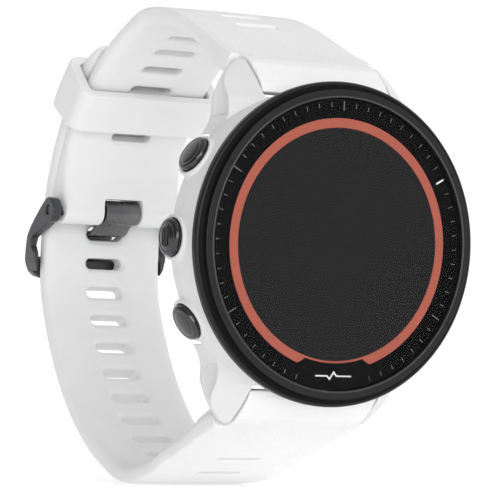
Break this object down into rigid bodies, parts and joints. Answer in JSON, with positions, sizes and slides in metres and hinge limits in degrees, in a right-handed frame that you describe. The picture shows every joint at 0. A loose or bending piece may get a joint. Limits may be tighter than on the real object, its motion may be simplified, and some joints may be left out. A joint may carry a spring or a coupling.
{
  "type": "gps running watch",
  "caption": "Round digital running watch with side buttons, dark bezel, red ring under its lens, wrist sensor and a buckled slotted silicone band.",
  "frame": {"origin": "centre of the flat rear sensor window, the face that rests on the wrist", "axes": "-Y out through the display, +Y into the wrist and towards the buckle, +X towards three o'clock, +Z towards twelve o'clock"},
  "size_m": [0.048, 0.0771, 0.0724],
  "materials": {
    "antenna_metal": "plated antenna track",
    "battery_wrap": "foil wrapped cell",
    "bezel_black": "satin black polymer",
    "board_green": "solder mask",
    "buckle_dark": "dark grey coated metal",
    "button_metal": "dark plated polished metal",
    "buzzer_brass": "brass disc",
    "case_white": "fine matte moulded polymer",
    "chip_black": "moulded packages",
    "contact_gold": "gold plated",
    "cover_white": "matte moulded polymer",
    "dial_print": "black print under glass",
    "diode_dark": "dark photodiode packages",
    "display_off": "dark grey reflective display, switched off",
    "inner_plastic": "moulded inner plastic",
    "latch_dark": "dark metal",
    "latch_slide_steel": "steel",
    "led_green": "clear led packages",
    "lens_glass": "clear strengthened glass",
    "mark_black": "engraved and filled, matt",
    "mark_print": "white print under glass",
    "motor_steel": "plain steel can",
    "pin_steel": "turned steel",
    "screw_steel": "passivated steel",
    "seal_rubber": "matt black rubber",
    "silicone_white": "soft matte white silicone",
    "solar_red": "copper red solar ring under glass",
    "switch_metal": "pressed metal switch",
    "tang_steel": "brushed dark steel",
    "tick_print": "grey print under glass",
    "window_black": "polished dark sensor window"
  },
  "bodies": {
    "head": {"case_body": "case_white", "bezel": "bezel_black", "bezel_marks": "mark_black", "lens": "lens_glass", "dial_ring": "dial_print", "dial_ticks": "tick_print", "dial_mark": "mark_print", "solar_ring": "solar_red", "display_panel": "display_off", "lens_gasket": "seal_rubber", "display_tray": "inner_plastic", "antenna_ring": "antenna_metal", "main_board": "board_green", "board_chips": "chip_black", "battery": "battery_wrap", "inner_frame": "inner_plastic", "vibration_motor": "motor_steel", "buzzer": "buzzer_brass", "button_switches": "switch_metal", "button_seals": "seal_rubber", "rear_cover": "cover_white", "rear_gasket": "seal_rubber", "rear_screws": "screw_steel", "sensor_window": "window_black", "sensor_board": "board_green", "sensor_leds": "led_green", "sensor_photodiodes": "diode_dark", "charge_block": "chip_black", "charge_contacts": "contact_gold", "upper_lug_pin": "pin_steel", "lower_lug_pin": "pin_steel"},
    "light_button": {"button_light": "button_metal", "clip_light": "pin_steel"},
    "up_button": {"button_up": "button_metal", "clip_up": "pin_steel"},
    "down_button": {"button_down": "button_metal", "clip_down": "pin_steel"},
    "start_button": {"button_start": "button_metal", "clip_start": "pin_steel"},
    "back_button": {"button_back": "button_metal", "clip_back": "pin_steel"},
    "upper_root": {"upper_strap_root": "silicone_white", "upper_latch_frame": "latch_dark"},
    "lower_root": {"lower_strap_root": "silicone_white", "lower_latch_frame": "latch_dark"},
    "upper_latch": {"upper_latch_slide": "latch_slide_steel"},
    "lower_latch": {"lower_latch_slide": "latch_slide_steel"},
    "band_back": {"short_strap": "silicone_white", "long_strap": "silicone_white", "buckle_pin": "pin_steel"},
    "buckle": {"buckle_frame": "buckle_dark"},
    "tang": {"buckle_tang": "tang_steel"},
    "keeper_loop": {"keeper": "silicone_white"}
  },
  "joints": [
    {"name": "light_press", "type": "slide", "parent": "head", "child": "light_button", "axis": [0.866, 0, -0.5], "range_m": [0, 0.0005], "stiffness_N_per_m": 1500},
    {"name": "up_press", "type": "slide", "parent": "head", "child": "up_button", "axis": [1, 0, 0], "range_m": [0, 0.0005], "stiffness_N_per_m": 1500},
    {"name": "down_press", "type": "slide", "parent": "head", "child": "down_button", "axis": [0.866, 0, 0.5], "range_m": [0, 0.0005], "stiffness_N_per_m": 1500},
    {"name": "start_press", "type": "slide", "parent": "head", "child": "start_button", "axis": [-0.866, 0, -0.5], "range_m": [0, 0.0005], "stiffness_N_per_m": 1500},
    {"name": "back_press", "type": "slide", "parent": "head", "child": "back_button", "axis": [-0.866, 0, 0.5], "range_m": [0, 0.0005], "stiffness_N_per_m": 1500},
    {"name": "band_sway", "type": "hinge", "parent": "head", "child": "upper_root", "pos_m": [0, -0.0035, 0.0233], "axis": [1, 0, 0], "range_deg": [-5, 5], "stiffness_Nm_per_rad": 0.6},
    {"name": "upper_flex", "type": "hinge", "parent": "upper_root", "child": "band_back", "pos_m": [0, 0.014, 0.03195], "axis": [1, 0, 0], "range_deg": [-4, 4]},
    {"name": "lower_flex", "type": "hinge", "parent": "band_back", "child": "lower_root", "pos_m": [0, 0.014, -0.03195], "axis": [1, 0, 0], "range_deg": [-4, 4]},
    {"name": "upper_latch_pull", "type": "slide", "parent": "upper_root", "child": "upper_latch", "axis": [0, 0.8829, 0.4695], "range_m": [0, 0.0012], "stiffness_N_per_m": 300},
    {"name": "lower_latch_pull", "type": "slide", "parent": "lower_root", "child": "lower_latch", "axis": [0, 0.8829, -0.4695], "range_m": [0, 0.0012], "stiffness_N_per_m": 300},
    {"name": "buckle_lift", "type": "hinge", "parent": "band_back", "child": "buckle", "pos_m": [0, 0.0527, 0.00425], "axis": [1, 0, 0], "range_deg": [0, 3]},
    {"name": "tang_lift", "type": "hinge", "parent": "band_back", "child": "tang", "pos_m": [0, 0.0527, 0.00425], "axis": [1, 0, 0], "range_deg": [0, 3]},
    {"name": "keeper_slide", "type": "hinge", "parent": "band_back", "child": "keeper_loop", "pos_m": [0, 0.0186, -0.0016], "axis": [1, 0, 0], "range_deg": [-7, 12]}
  ],
  "couplings": [
    {"joint": "upper_flex", "follows": "band_sway", "ratio": -0.7294},
    {"joint": "lower_flex", "follows": "band_sway", "ratio": 0.7294},
    {"joint": "tang_lift", "follows": "buckle_lift", "ratio": 1}
  ]
}
